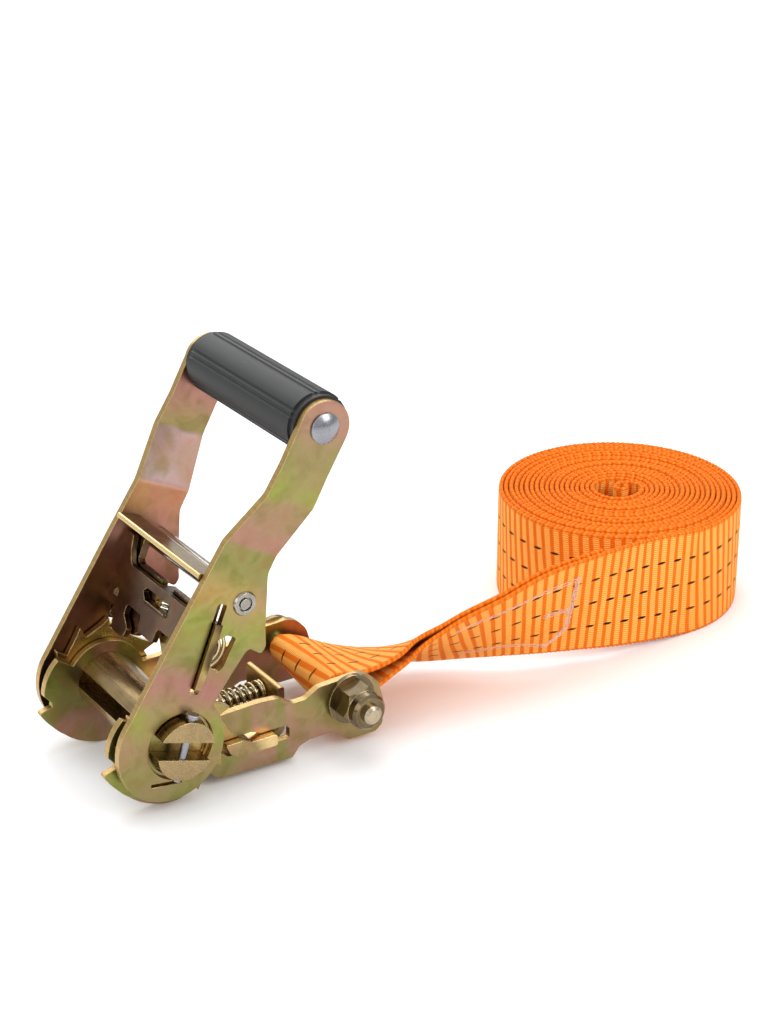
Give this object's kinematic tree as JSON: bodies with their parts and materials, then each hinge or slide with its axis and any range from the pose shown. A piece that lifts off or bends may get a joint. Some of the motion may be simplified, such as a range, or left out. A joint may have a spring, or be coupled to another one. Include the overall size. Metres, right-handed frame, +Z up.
{
  "type": "ratchet tie down",
  "caption": "Steel ratchet buckle with a gripped handle, winding spool and sprung pawls, on a webbing strap sewn round its bolt, twisted and rolled up.",
  "frame": {"origin": "centre of the winding spool, mid width", "axes": "+X from the spool to the strap bolt, +Y across the width to the bolt head's side, +Z up"},
  "size_m": [0.3445, 0.1322, 0.1602],
  "materials": {
    "zinc_frame": "yellow zinc plated steel, satin, with green and pink tints",
    "zinc_handle": "yellow zinc plated steel, satin, with green and pink tints",
    "zinc_wheel": "yellow zinc plated steel, satin",
    "zinc_pawl": "yellow zinc plated steel, satin",
    "spool_steel": "yellow zinc plated steel, smooth",
    "bolt_steel": "zinc plated steel, smooth",
    "nut_steel": "yellow zinc plated steel, dark",
    "nylon_ring": "nylon",
    "spring_steel": "bright spring wire",
    "rivet_steel": "bright steel",
    "grip_plastic": "dark grey moulded plastic",
    "webbing": "orange woven polyester webbing with dark tracer threads",
    "thread": "pale sewing thread"
  },
  "bodies": {
    "frame": {"frame_channel": "zinc_frame", "strap_bolt": "bolt_steel", "bolt_nut": "nut_steel", "nut_ring": "nylon_ring", "bolt_washers": "bolt_steel"},
    "lock_pawl": {"lock_pawl": "zinc_pawl", "spring_guide_pin": "bolt_steel", "lock_spring": "spring_steel"},
    "handle": {"handle_plate_near": "zinc_handle", "handle_plate_far": "zinc_handle", "handle_web": "zinc_handle", "handle_cross_tube": "rivet_steel", "grip_rod": "rivet_steel", "grip_sleeve": "grip_plastic", "pawl_wire_clips": "spring_steel"},
    "drive_pawl": {"drive_pawl": "zinc_pawl", "drive_spring": "spring_steel"},
    "spool": {"spool_bar_upper": "spool_steel", "spool_bar_lower": "spool_steel", "ratchet_wheel_near": "zinc_wheel", "ratchet_wheel_far": "zinc_wheel", "split_pins": "rivet_steel"},
    "strap": {"webbing_loop": "webbing", "webbing_tail": "webbing", "webbing_roll": "webbing", "seam_thread": "thread"}
  },
  "joints": [
    {"name": "handle_swing", "type": "hinge", "parent": "frame", "child": "handle", "pos_m": [0, 0, 0], "axis": [0, 1, 0], "range_deg": [-115, 42]},
    {"name": "spool_turn", "type": "hinge", "parent": "frame", "child": "spool", "pos_m": [0, 0, 0], "axis": [0, 1, 0], "continuous": true},
    {"name": "drive_pawl_slide", "type": "slide", "parent": "handle", "child": "drive_pawl", "axis": [-0.3746, 0, -0.9272], "range_m": [-0.0074, 0.002], "stiffness_N_per_m": 300, "deforming": ["drive_spring"]},
    {"name": "lock_pawl_slide", "type": "slide", "parent": "frame", "child": "lock_pawl", "axis": [1, 0, 0], "range_m": [0, 0.005], "stiffness_N_per_m": 300, "deforming": ["lock_spring"]},
    {"name": "strap_swing", "type": "hinge", "parent": "frame", "child": "strap", "pos_m": [0.0798, 0, -0.0055], "axis": [0, 1, 0], "range_deg": [-60, 0]}
  ]
}
